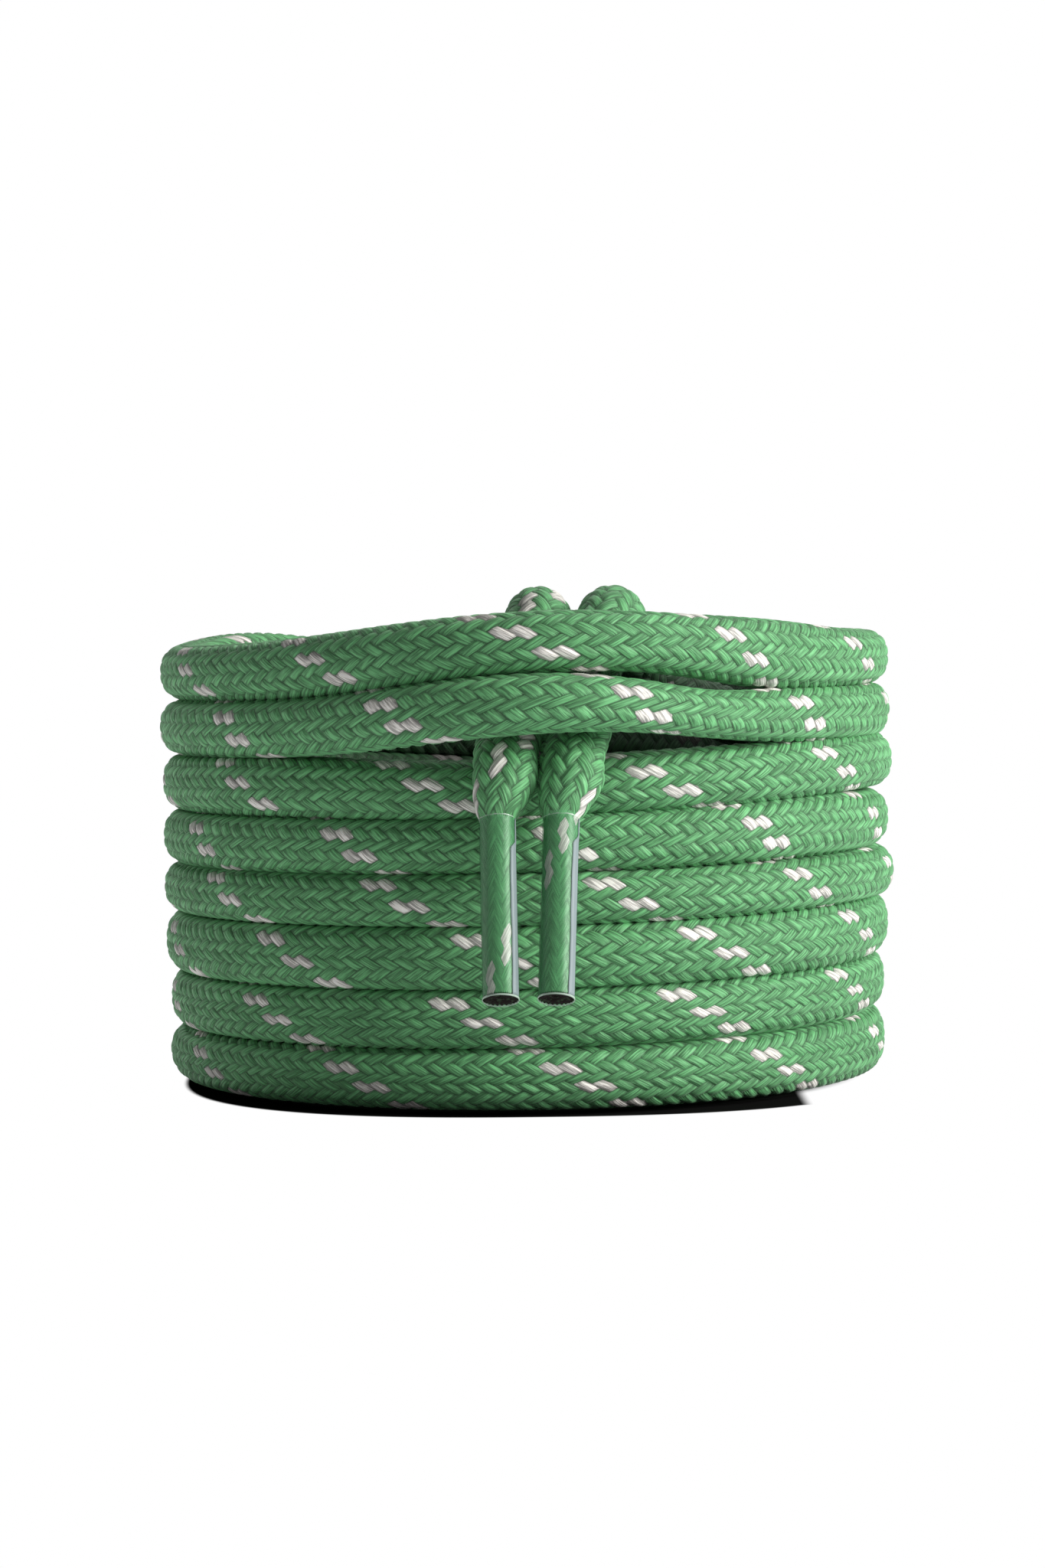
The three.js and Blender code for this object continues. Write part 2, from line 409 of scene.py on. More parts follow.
turn_starts = 360 * np.arange(len(TURN_HEIGHTS) + 1) + TURN_START
height_angles = np.sort(np.append(turn_starts, turn_starts + CLIMB_START - TURN_START))
turn_height = np.append(TURN_HEIGHTS, LAST_HEIGHT).repeat(2)
turn_height = np.interp(coil_angle, height_angles, turn_height)
turn_swell = np.interp(coil_angle, height_angles, TURN_SWELL.repeat(2))
half_width = LACE / 2 + in_coil * ((TURN_WIDTH - LACE) / 2 + turn_swell)
from_start = np.clip(coil_angle, TURN_START, None)
filled = np.array([sag(a) if a < TURN_START + 360 else PRESSED for a in from_start])
settling = sum(line[5] * settled(coil_angle, line) for line in SETTLED)
half_height = LACE / 2 + in_coil * ((turn_height - LACE) / 2 + filled + settling)
squareness = 2 + SQUARED * in_coil
print("width in the coil in mm:", round(2000 * half_width[len(along) // 2], 2))

# %% [markdown]
# Where the ends squeeze out between two turns they are pressed flat, and where they bend over
# the top they swell a little. Above each aglet the braid narrows to the size of the film, and
# bulges over its mouth, because the film squeezed it.

# %% Half sizes of the ends
END_STRETCH = 0.1  # both ends are looked for within this length of a tip
PINCH_OUT = 0.0015  # where they are pressed, in front of the middle of the turns
PINCH_SPREAD = 0.0042
PINCH_WIDTH = 0.0060
PINCH_THICKNESS = 0.0038
HUMP_SWELL = 0.0004
HUMP_SPREAD = 0.0050
TIP_LENGTH = AGLET_LENGTH - RIM_DEPTH
PACKED_RADIUS = AGLET_DIAMETER / 2 - FILM_THICKNESS - 0.00002
NECK_TAPER = 0.0040
NECK_BULGE = 0.6  # under 1, the braid bulges over the mouth of the film
END_SWELL = 0.0002
NECK_SLUMP = 0.0007  # above its tip the braid hangs over the film, on the right
SLUMP_AT = 0.0034  # above the film's mouth
SLUMP_SPREAD = 0.0030

end_stretches = (along < END_STRETCH, along > LACE_LENGTH - END_STRETCH)
pinch_height = levels[FIRST_UPPER] + PUSHED_UP["by"]
for end in end_stretches:
    off = np.hypot(route[:, 1] - coil_axis.y + TURN_RADIUS + PINCH_OUT, route[:, 2] - pinch_height)
    pinch_at = along[np.argmin(np.where(end, off, 1))]
    pressed = np.exp(-(((along - pinch_at) / PINCH_SPREAD) ** 2))
    half_width += pressed * (PINCH_WIDTH - LACE) / 2
    half_height += pressed * (PINCH_THICKNESS - LACE) / 2
    print("pinched at, in mm from the start:", round(1000 * pinch_at, 1))

for end in end_stretches:
    hump_at = along[np.argmax(np.where(end, route[:, 2], 0))]
    half_width += HUMP_SWELL * bell(along, hump_at, HUMP_SPREAD)
    half_height += HUMP_SWELL * bell(along, hump_at, HUMP_SPREAD)
from_end = np.minimum(along, LACE_LENGTH - along)
opened = np.sin(np.pi / 2 * np.clip((from_end - TIP_LENGTH) / NECK_TAPER, 0, 1)) ** NECK_BULGE
half_width += END_SWELL * bell(from_end, TIP_LENGTH + SLUMP_AT, SLUMP_SPREAD)
half_width = PACKED_RADIUS + (half_width - PACKED_RADIUS) * opened
half_height = PACKED_RADIUS + (half_height - PACKED_RADIUS) * opened
slump = NECK_SLUMP * opened * bell(from_end, TIP_LENGTH + SLUMP_AT, SLUMP_SPREAD)

# %% [markdown]
# ## How the braid lies on the lace
# The sheath is braided from 24 yarns: twelve turn to the right and twelve to the left, and each
# goes over two and under two. One full turn of a yarn round the lace is a lead. Two neighbouring
# yarns of one direction are white, so a pair of white dashes comes round again and again.
#
# Where the dashes fall depends on how far the lace has been twisted and stretched. Both are
# given at the front of each turn, and change evenly in between.

# %% Leads and twist
YARNS = 12  # in each direction
TIP_LEAD = 0.0195  # squeezed into the film, the braid is drawn out
END_LEAD = 0.0165
END_REACH = 0.060  # how far from a cut end that holds
PAIR_MIDDLE = (1, 0.5)  # where the first white pair shows, counted in yarns of both directions
PAIR_STEP = 4  # yarns crossed between one white pair and the next
# Where a white pair shows on the two ends: how far from the cut end, and the angle round the
# lace in degrees, counted like the angle of a point of the skin.
ON_ENDS = {"right": [(0.0110, 126), (0.0166, 24)], "left": [(0.0202, 83), (0.0043, 113)]}
FRONT_REACH = 0.040  # how far along the lace the values at a front hold
# One line for each turn, from the bottom up: how many leads past the front a white pair crosses
# its row, how far above the outermost line that row is in degrees, the lead, how many degrees
# the rows climb in a lead, and how far the top of the lace is pulled ahead of its middle.
AT_FRONT = np.array([
    (0.254, -22.2, 0.01843, 1.9, 0.00025),
    (-0.236, -6.9, 0.01873, 5.7, 0.00044),
    (-0.115, -10.8, 0.01847, 1.1, 0.00001),
    (-0.550, -16.6, 0.01837, -6.0, 0.00026),
    (0.047, 29.7, 0.01782, -4.3, 0.00089),
    (0.499, 25.4, 0.01806, 9.0, 0.00008),
    (0.334, 34.8, 0.01950, 0.8, 0.00130),
    (-0.076, 29.2, 0.01837, 7.2, 0.00002),
])
HALF_YARN = 0.5 / (2 * YARNS)  # in leads, and in turns round the lace
GATHER = 0.36  # how much closer the rows lie on the outside of a bend

level_turn = np.append(0, np.cumsum(np.einsum("ij,ij->i", np.diff(outward, axis=0), upward[1:])))
free_twist = -np.degrees(level_turn)  # a lace that isn't twisted keeps its own direction
near_fronts = np.stack([fronts - FRONT_REACH, fronts + FRONT_REACH], 1).ravel()
lead_at = np.concatenate([[END_LEAD], AT_FRONT[:, 2].repeat(2), [END_LEAD]])
lead_places = np.concatenate([[END_REACH], near_fronts, [LACE_LENGTH - END_REACH]])
lead_here = np.interp(along, lead_places, lead_at)
lead_here += (TIP_LEAD - lead_here) * (1 - opened)
slant = in_coil * np.interp(along, near_fronts, AT_FRONT[:, 4].repeat(2))
gather = GATHER * in_coil
leads = np.append(0, np.cumsum(2 * STEP / (lead_here[1:] + lead_here[:-1])))
print("leads in the whole lace:", round(leads[-1], 1))


def nearest(value, wanted, period):
    """The place nearest to value that is a whole number of periods from wanted."""
    return wanted + period * round((value - wanted) / period)


# %% [markdown]
# A mark says how much twist and how many leads are added at a place on the lace. Each mark
# keeps as near as it can to the one before, so that the braid is never twisted or stretched
# more than a hand does that winds it up.

# %% White pairs where they belong
marks = []  # where, the twist there, and the leads added there


def mark_end(at_along, wanted):
    """Adds the marks that bring a white pair to an angle at a place on an end."""
    plain = np.interp(at_along, along, leads)
    before = marks[-1][2] if marks else 0
    crossed = (2 * YARNS * (plain + before) - sum(PAIR_MIDDLE)) / PAIR_STEP
    crossed = PAIR_STEP * round(crossed)
    lead_added = (sum(PAIR_MIDDLE) + crossed) / (2 * YARNS) - plain
    turned = 360 * (PAIR_MIDDLE[0] - PAIR_MIDDLE[1] - crossed) / (2 * YARNS)
    turned += np.interp(at_along, along, free_twist)
    twist_before = marks[-1][1] if marks else 0
    marks.append((at_along, nearest(twist_before, wanted - turned, 360), lead_added))


for from_tip, wanted in ON_ENDS["right"]:
    mark_end(from_tip, wanted)
for front, (white, row, lead, climb, _) in zip(fronts, AT_FRONT):
    row_at = row - 360 * HALF_YARN - np.interp(front, along, free_twist)
    twist = nearest(marks[-1][1], row_at, 720 / YARNS)
    either_side = climb * FRONT_REACH / lead
    lead_added = HALF_YARN - white + (twist - row_at) / 360 - np.interp(front, along, leads)
    lead_added = nearest(marks[-1][2], lead_added, 1)
    marks.append((front - FRONT_REACH, twist - either_side, lead_added))
    marks.append((front + FRONT_REACH, twist + either_side, lead_added))
for from_tip, wanted in ON_ENDS["left"]:
    mark_end(LACE_LENGTH - from_tip, wanted)
marked, twist_marks, lead_marks = np.array(marks).T
twist = free_twist + np.interp(along, marked, twist_marks)
leads += np.interp(along, marked, lead_marks)
print("twist added, degrees:", np.round(twist_marks))
print("leads added:", np.round(lead_marks, 2))

# %% [markdown]
# ## The braid as a mesh
# There are two ways to model a braid: 24 long tubes, or one skin that has the shape of them.
# The skin is lighter, and it closes the lace. Its faces are small diamonds whose edges lie
# along the yarns, so that every crease between two yarns falls on an edge.
#
# Each yarn rises where it goes over and sinks where it goes under, and its back is rounded.
# The skin takes whichever of the two crossing yarns is higher.

# %% The height of a yarn
RISE = 0.00024
FLAT_TOP = 0.5  # the lower, the flatter a yarn lies over the two it crosses
YARN_EDGE = 0.00016  # how much lower a yarn's edges are than its back
YARN_ROUND = 2.6
OVER_SHIFT = 3  # where the yarns of the second direction go over


def yarn_height(across, lengthwise, shift, number):
    """Height of yarn `number` of one direction, where `across` counts yarns of that direction
    and `lengthwise` those of the other."""
    crest = np.cos(np.pi / 2 * (lengthwise - number - shift))
    crest /= np.sqrt(crest**2 + FLAT_TOP**2)
    return RISE * crest - YARN_EDGE * np.abs(2 * (across - number) - 1) ** YARN_ROUND


def skin_height(first, second):
    """The height of the skin, and which yarn is on top."""
    heights, names = [], []
    for across, lengthwise, shift in ((first, second, 0), (second, first, OVER_SHIFT)):
        for number in (np.floor(across - 0.5), np.floor(across + 0.5)):
            heights.append(yarn_height(across, lengthwise, shift, number))
            names.append(2 * number + (shift > 0))
    top = np.argmax(heights, axis=0)[None]
    return [np.take_along_axis(np.array(v), top, 0)[0] for v in (heights, names)]


print("deepest crease in mm:", round(1000 * (RISE + YARN_EDGE), 2))

# %% [markdown]
# The points of the skin lie on rings. Every second ring is turned by half a step, which gives
# the diamonds. Each point goes out from the middle line as far as the outline of the pressed
# lace, less how deep the braid lies there.

# %% The skin
FINENESS = 4  # faces across a yarn
TIP_RELIEF = 0.12  # how much of the relief is left in the film
ROWS = 2 * YARNS * FINENESS  # rings of points in one lead
COLUMNS = ROWS // 2  # points in one ring

first_ring = math.ceil(leads[0] * ROWS)
last_ring = math.floor(leads[-1] * ROWS)
ring = np.arange(first_ring, last_ring + 1)
ring_at = np.interp(ring / ROWS, leads, along)
column = (ring % 2)[:, None] + 2 * np.arange(COLUMNS)
first = (ring[:, None] + column) / (2 * FINENESS)
second = (ring[:, None] - column) / (2 * FINENESS)
angle = 2 * np.pi * column / ROWS + np.radians(np.interp(ring_at, along, twist))[:, None]
at = ring_at[:, None] + np.interp(ring_at, along, slant)[:, None] * np.sin(angle)


def here(values):
    """Values given along the route, at every point of the skin."""
    return np.interp(at, along, values)


def here_all(points):
    return np.stack([here(points[:, i]) for i in range(3)], -1)


angle -= here(gather) * np.sin(angle)
power = here(squareness)
reach = np.abs(np.cos(angle) / here(half_width)) ** power
reach = (reach + np.abs(np.sin(angle) / here(half_height)) ** power) ** (-1 / power)
reach += here(TIP_RELIEF + (1 - TIP_RELIEF) * opened) * (skin_height(first, second)[0] - RISE)
middle_line = route + slump[:, None] * np.array([1, 0, 0])
skin = here_all(middle_line) + (reach * np.cos(angle))[..., None] * here_all(outward)
skin += (reach * np.sin(angle))[..., None] * here_all(upward)
print("rings:", len(ring), "points:", skin.shape[0] * skin.shape[1])

# %% [markdown]
# Every diamond joins a point, its two neighbours on the next ring, and the point two rings on.
# Two maps go with the faces. "yarns" counts the yarns of both directions, and the finish below
# reads it. "OFBake" lays the whole lace out in strips, for anyone who wants to paint it.

# %% Faces and maps
STRIPS = 10
STRIP_MARGIN = 0.12  # of a strip's height, left free between it and the next


def crease_edges(mesh, top_yarns):
    """Makes an edge sharp if the faces on its two sides belong to different yarns."""
    edges = np.zeros(len(mesh.loops), np.int32)
    mesh.loops.foreach_get("edge_index", edges)
    order = np.argsort(edges, kind="stable")
    names = top_yarns.ravel()[order // 4]
    edges = edges[order]
    shared = (edges[1:] == edges[:-1]) & (names[1:] != names[:-1])
    sharp = np.zeros(len(mesh.edges), bool)
    sharp[edges[1:][shared]] = True
    mesh.attributes.new("sharp_edge", "BOOLEAN", "EDGE").data.foreach_set("value", sharp)


def lace_mesh():
    i, j = np.meshgrid(np.arange(len(ring) - 2), np.arange(COLUMNS), indexing="ij")
    odd = (ring[:-2] % 2)[:, None]
    after = (j + odd) % COLUMNS
    before = (j + odd - 1) % COLUMNS
    near, far = i * COLUMNS + j, (i + 2) * COLUMNS + j
    sides = (i + 1) * COLUMNS + after, (i + 1) * COLUMNS + before
    faces = np.stack([near, sides[0], far, sides[1]], -1).reshape(-1, 4)
    mesh = bpy.data.meshes.new("lace")
    mesh.vertices.add(len(ring) * COLUMNS)
    mesh.vertices.foreach_set("co", skin.astype(np.float32).ravel())
    mesh.loops.add(faces.size)
    mesh.loops.foreach_set("vertex_index", faces.astype(np.int32).ravel())
    mesh.polygons.add(len(faces))
    mesh.polygons.foreach_set("loop_start", np.arange(0, faces.size, 4, dtype=np.int32))
    mesh.update(calc_edges=True)
    mesh.polygons.foreach_set("use_smooth", np.ones(len(faces), bool))
    face_middle = 0.5 / FINENESS
    crease_edges(mesh, skin_height(first[:-2] + face_middle, second[:-2] + face_middle)[1])
    return mesh


def add_map(mesh, name, across, up):
    values = np.stack([across, up], -1).astype(np.float32)
    mesh.uv_layers.new(name=name).data.foreach_set("uv", values.ravel())


def add_maps(mesh):
    i, j = np.meshgrid(np.arange(len(ring) - 2), np.arange(COLUMNS), indexing="ij")
    odd = (ring[:-2] % 2)[:, None]
    k = (ring[:-2, None] + 0 * j)[..., None] + np.array([0, 1, 2, 1])
    m = (odd + 2 * j)[..., None] + np.array([0, 1, 0, -1])
    add_map(mesh, "yarns", (k + m) / (2 * FINENESS), (k - m) / (2 * FINENESS))
    strip_rings = math.ceil(len(ring) / STRIPS)
    strip = (i // strip_rings)[..., None]
    u = (k - ring[0] - strip * strip_rings + 2) / (strip_rings + 6)
    v = (strip + STRIP_MARGIN / 2 + (m + 1) / (ROWS + 2) * (1 - STRIP_MARGIN)) / STRIPS
    add_map(mesh, "OFBake", u, v)


lace = bpy.data.objects.new("lace", lace_mesh())
add_maps(lace.data)
scene.collection.objects.link(lace)
print("faces:", len(lace.data.polygons), "flipped:", lace.data.validate())

# %% [markdown]
# ## Shader maths
# A finish is a network of nodes. Written out by hand it is long and hard to read, so a small
# class wraps the output of a node, and sums and products of such outputs add Math nodes by
# themselves. Every other node comes from one method.

# %% Nodes as expressions
SINGLE, SEVERAL = "ShaderNodeMath", "ShaderNodeVectorMath"


class Link:
    """The output of a node. Sums and products of links add nodes."""

    def __init__(self, finish, socket):
        self.finish, self.socket = finish, socket

    def maths(self, operation, *values):
        wide = any(isinstance(v, Link) and v.socket.type != "VALUE" for v in values)
        kind = SEVERAL if wide else SINGLE
        return self.finish.node(kind, {"operation": operation}, dict(enumerate(values)))

    def __add__(self, other):
        return self.maths("ADD", self, other)

    def __sub__(self, other):
        return self.maths("SUBTRACT", self, other)

    def __rsub__(self, other):
        return self.maths("SUBTRACT", other, self)

    def __mul__(self, other):
        return self.maths("MULTIPLY", self, other)

    def __truediv__(self, other):
        return self.maths("DIVIDE", self, other)

    def __rtruediv__(self, other):
        return self.maths("DIVIDE", other, self)

    def __pow__(self, other):
        return self.maths("POWER", self, other)

    def __gt__(self, other):
        return self.maths("GREATER_THAN", self, other)

    def __lt__(self, other):
        return self.maths("LESS_THAN", self, other)

    def __mod__(self, other):
        return self.maths("FLOORED_MODULO", self, other)

    def __abs__(self):
        return self.maths("ABSOLUTE", self)

    __radd__, __rmul__ = __add__, __mul__


print("operators:", [name for name in vars(Link) if name.startswith("__r")], "and their plain forms")

# %% The tree of a finish
class Finish:
    """The emptied node tree of a material or a world."""

    def __init__(self, owner):
        owner.use_nodes = True
        self.owner = owner
        self.tree = owner.node_tree
        self.tree.nodes.clear()

    def node(self, kind, settings=None, values=None, out=0):
        """Adds a node. Its settings come first, then the values or links of its sockets."""
        node = self.tree.nodes.new(kind)
        for name, value in (settings or {}).items():
            setattr(node, name, value)
        for name, value in (values or {}).items():
            socket = node.inputs[name]
            if isinstance(value, Link):
                self.tree.links.new(value.socket, socket)
            elif hasattr(socket.default_value, "__len__") and not hasattr(value, "__len__"):
                socket.default_value = [value] * len(socket.default_value)
            elif socket.type == "RGBA":
                socket.default_value = (*value, 1)
            else:
                socket.default_value = value
        if isinstance(out, tuple):
            return [Link(self, node.outputs[o]) for o in out]
        return Link(self, node.outputs[out]) if node.outputs else None

    def maximum(self, one, other):
        return self.node(SINGLE, {"operation": "MAXIMUM"}, {0: one, 1: other})

    def mix_colours(self, share, first, second):
        """Colours, by a Mix node."""
        values = {0: share, 6: first, 7: second}
        return self.node("ShaderNodeMix", {"data_type": "RGBA"}, values, out=2)

    def surface(self, shader):
        self.node("ShaderNodeOutputMaterial", values={0: shader})
        return self.owner


def new_finish(name):
    return Finish(bpy.data.materials.new(name))


print("materials so far:", len(bpy.data.materials))

# %% [markdown]
# Two more helpers: colours are written as a paint program writes them, and most masks are a
# soft step from one value to another.

# %% Colours and soft steps
def linear(red, green, blue):
    """A colour as a paint program writes it, from 0 to 255, in the light that nodes work in."""
    parts = [c / 255 for c in (red, green, blue)]
    return tuple(c / 12.92 if c <= 0.04045 else ((c + 0.055) / 1.055) ** 2.4 for c in parts)


def smooth_step(finish, value, start, end, first, last):
    """Goes softly from first to last while the value goes from start to end."""
    values = {0: value, 1: start, 2: end, 3: first, 4: last}
    return finish.node("ShaderNodeMapRange", {"interpolation_type": "SMOOTHSTEP"}, values)


print("half grey in the light that nodes work in:", round(linear(128, 128, 128)[0], 3))

# %% [markdown]
# ## The yarn
# The yarns are flat bundles of fine polyester filaments, dyed green, two of them white. They
# are matt, with a faint sheen. The finish works out which yarn is on top in the same way as the
# skin does, so that the white dashes end exactly where the yarn dives. It draws the filaments
# as long thin streaks along each yarn, which roughen the surface and change the colour: partly
# the yarn's own grain, partly painted glints. It paints shade into the creases, and a faint
# painted highlight along the crest of each stitch.

# %% Which yarn is on top
WHITE_YARNS = 2


def pick_higher(one, other):
    """For two yarns that meet, the values of the one that is on top."""
    wins = other["height"] > one["height"]
    return {key: one[key] + (other[key] - one[key]) * wins for key in one}


def top_yarn(finish, first, second):
    """The height, the place across and along, the number and the whiteness of the top yarn."""
    best = None
    directions = ((first, second, 0), (second, first, OVER_SHIFT))
    for family, (across, lengthwise, shift) in enumerate(directions):
        for step in (-0.5, 0.5):
            number = finish.node(SINGLE, {"operation": "FLOOR"}, {0: across + step})
            middle = across - number
            length = lengthwise - number - shift
            crest = finish.node(SINGLE, {"operation": "COSINE"}, {0: length * (math.pi / 2)})
            crest = crest / (crest * crest + FLAT_TOP**2) ** 0.5
            yarn = {
                "height": crest * RISE - abs(middle * 2 - 1) ** YARN_ROUND * YARN_EDGE,
                "across": middle,
                "length": length,
                "number": number + family * 0.5,
                "white": (number % YARNS < WHITE_YARNS) * (1 - family),
            }
            best = pick_higher(best, yarn) if best else yarn
    return best


print("green yarns:", 2 * YARNS - WHITE_YARNS, "white yarns:", WHITE_YARNS)

# %% [markdown]
# Little light gets into the hollow of the coil, and no lamp can be shut out of it without
# spoiling the front. So the finish itself is darker inside the coil and below its top.

# %% Shade inside the coil
HOLLOW_RADIUS = (0.0290, 0.0312)  # the shade fades out between these radii
HOLLOW_TOP = (0.0365, 0.0405)  # and between these heights
HOLLOW_SHADE = 0.22


def hollow_shade(finish):
    """HOLLOW_SHADE inside the coil, 1 outside it and at its top."""
    place = finish.node("ShaderNodeNewGeometry", out=0) - (coil_axis.x, coil_axis.y, 0)
    across, back, height = finish.node("ShaderNodeSeparateXYZ", values={0: place}, out=(0, 1, 2))
    radius = (across * across + back * back) ** 0.5
    out_of_it = smooth_step(finish, radius, *HOLLOW_RADIUS, 0, 1)
    above_it = smooth_step(finish, height, *HOLLOW_TOP, 0, 1)
    return finish.maximum(out_of_it, above_it) * (1 - HOLLOW_SHADE) + HOLLOW_SHADE


print("inner radius of the turns in mm:", round(1000 * (TURN_RADIUS - TURN_WIDTH / 2), 1))

# %% Yarn finish
GREEN = linear(97, 166, 109)
WHITE = linear(236, 233, 228)
SHEEN = linear(200, 235, 205)
FILAMENTS = 7  # streaks across a yarn
FILAMENT_LENGTH = 0.4  # streaks along a yarn, in each yarn that it crosses
STREAK_DARK = 0.42
DYE_DARK = 0.1  # how much darker one stitch can be than another


def filament_noise(finish, yarn):
    at_yarn = {
        0: yarn["across"] * FILAMENTS,
        1: yarn["length"] * FILAMENT_LENGTH,
        2: yarn["number"] * 3.7,
    }
    streak_at = finish.node("ShaderNodeCombineXYZ", values=at_yarn)
    values = {"Vector": streak_at, "Scale": 1, "Detail": 3, "Roughness": 0.6}
    return finish.node("ShaderNodeTexNoise", values=values)


def stitch_dye(finish, yarn):
    """0 to 1, another for each stitch, which is where a yarn shows between two dives."""
    stitch = finish.node(SINGLE, {"operation": "FLOOR"}, {0: (yarn["length"] + 2) / 4})
    stitch_at = finish.node("ShaderNodeCombineXYZ", values={0: yarn["number"], 1: stitch, 2: 0.0})
    return finish.node("ShaderNodeTexWhiteNoise", {"noise_dimensions": "3D"}, {"Vector": stitch_at})


def crease_shade(finish, yarn, crease):
    """Painted shade at the sides of a yarn and where it dives; a faint painted highlight at its
    crest.
    """
    from_middle = abs(yarn["across"] * 2 - 1)
    from_crest = abs((yarn["length"] + 2) % 4 - 2)
    sides = smooth_step(finish, from_middle, 0.72, 1.0, 1, crease)
    dives = smooth_step(finish, from_crest, 0.65, 1.15, 1, crease)
    # A faint painted highlight on the crest of each stitch, and painted shade towards its ends.
    crest = smooth_step(finish, from_crest, 0, 0.9, 1.03, 0.97)
    return sides * dives * crest


def yarn_finish(name, green, white, crease, roughness, fuzz, streak_and_glint, coat=0.0):
    finish = new_finish(name)
    maps = finish.node("ShaderNodeUVMap", {"uv_map": "yarns"})
    first, second = finish.node("ShaderNodeSeparateXYZ", values={0: maps}, out=(0, 1))
    yarn = top_yarn(finish, first, second)
    noise = filament_noise(finish, yarn)
    streaks_and_glints = smooth_step(finish, noise, 0.36, 0.66, 0, 1)
    level = crease_shade(finish, yarn, crease)
    level *= stitch_dye(finish, yarn) * DYE_DARK + (1 - DYE_DARK)
    # The streaks change the colour: partly the yarn's own grain, partly painted glints.
    level *= streaks_and_glints * streak_and_glint + (1 - streak_and_glint * STREAK_DARK)
    level *= hollow_shade(finish)
    bump = {"Strength": 1, "Distance": fuzz, "Height": noise}
    shader = finish.node(
        "ShaderNodeBsdfPrincipled",
        values={
            "Base Color": finish.mix_colours(yarn["white"], green, white) * level,
            "Roughness": (1 - streaks_and_glints) * 0.25 + (roughness - 0.1),
            "Specular IOR Level": 0.5,
            "Sheen Weight": 0.25,
            "Sheen Roughness": 0.4,
            "Sheen Tint": SHEEN,
            "Coat Weight": coat,
            "Coat Roughness": 0.35,
            "Normal": finish.node("ShaderNodeBump", values=bump),
        },
    )
    return finish.surface(shader)


braid_finish = yarn_finish(
    "braid", GREEN, WHITE, crease=0.4, roughness=0.6, fuzz=0.00012, streak_and_glint=1.0
)
print("nodes in the braid's finish:", len(braid_finish.node_tree.nodes))

# %% [markdown]
# In the aglets the hot film has pressed the braid smooth. It has hardly any creases, and a thin
# gloss.

# %% Packed braid
PACKED_GREEN = linear(94, 168, 110)
PACKED_WHITE = linear(226, 226, 218)
packed_finish = yarn_finish(
    "packed_braid",
    PACKED_GREEN,
    PACKED_WHITE,
    crease=0.85,
    roughness=0.5,
    fuzz=0.00002,
    streak_and_glint=0.6,
    coat=0.3,
)
lace.data.materials.append(braid_finish)
lace.data.materials.append(packed_finish)
in_tip = np.interp(ring_at[:-2], along, from_end) < TIP_LENGTH
lace.data.polygons.foreach_set("material_index", in_tip.astype(np.int32).repeat(COLUMNS))
lace.data.update()
print("faces in the tips:", int(in_tip.sum()) * COLUMNS)

# %% [markdown]
# ## Aglets
# Each end is wrapped in clear film, which is shrunk on with heat and shows one overlap along
# its length. The film lets the braid show, so its finish is mostly a Transparent shader, and a
# gloss that grows towards the edges. Only the Mix Shader's factor changes over the surface.

# %% Film finish
FILM_IOR = 1.49
SCUFF_SCALE = 900
SCUFF_DEPTH = 0.00001


def film_finish(name, tint, milk_and_gleam, haze, gloss, roughness):
    """Clear film. haze is how much its colour shows straight on, gloss how much that grows."""
    finish = new_finish(name)
    clear = finish.node("ShaderNodeBsdfTransparent", values={"Color": tint})
    coords = finish.node("ShaderNodeTexCoord", out=3)
    scuffs = {"Vector": coords, "Scale": SCUFF_SCALE, "Detail": 4}
    scuffs = finish.node("ShaderNodeTexNoise", values=scuffs)
    bump = {"Distance": SCUFF_DEPTH, "Height": scuffs}
    sheen = finish.node(
        "ShaderNodeBsdfPrincipled",
        values={
            "Base Color": milk_and_gleam,
            "Roughness": scuffs * 0.1 + roughness,
            "IOR": FILM_IOR,
            "Normal": finish.node("ShaderNodeBump", values=bump),
        },
    )
    facing = finish.node("ShaderNodeFresnel", values={"IOR": FILM_IOR})
    share = facing * gloss + haze + (scuffs - 0.5) * 0.06
    shader = finish.node("ShaderNodeMixShader", values={0: share, 1: clear, 2: sheen})
    return finish.surface(shader)


CLEAR, CLEAR_MILK = (0.97, 0.99, 0.98), linear(60, 105, 76)
# The overlap's pale colour is partly the double film's milkiness, partly a painted reflection.
DOUBLE, DOUBLE_MILK_AND_GLEAM, EDGE_GLEAM = (0.9, 0.95, 0.95), linear(138, 152, 157), linear(205, 228, 212)
clear_film = film_finish("clear_film", CLEAR, CLEAR_MILK, haze=0.04, gloss=0.25, roughness=0.3)
double_film_and_gleam = film_finish("double_film_and_gleam", DOUBLE, DOUBLE_MILK_AND_GLEAM, haze=0.8, gloss=0.2, roughness=0.35)
# The film_edge finish is the painted highlight along the film's two ends.
film_edge = film_finish("film_edge", DOUBLE, EDGE_GLEAM, haze=0.45, gloss=0.3, roughness=0.2)
print("film finishes:", clear_film.name, double_film_and_gleam.name, film_edge.name)

# %% [markdown]
# The sleeve has a real wall, turned from its outline, and is a little out of round, as shrunk
# film is. A narrow band at each of its two ends is painted pale, a painted highlight.

# %% Film sleeve
EDGE_BAND = 0.00014  # how much of the film at its two ends shows the painted highlight
EDGE_ROWS = 5  # rows of faces over the lower end
FILM_SIDES = 72
FILM_RINGS = 40
SEAM_AT = math.radians(59)  # round the sleeve, from the front towards the right
PUCKER = 0.00003  # beside the overlap
OUT_OF_ROUND = 0.00002


def tip_matrix(side):
    mouth = place(MOUTHS[side]) + np.array([coil_axis.x, coil_axis.y, 0])
    return Matrix.Translation(mouth) @ tip_turn(side).to_4x4()


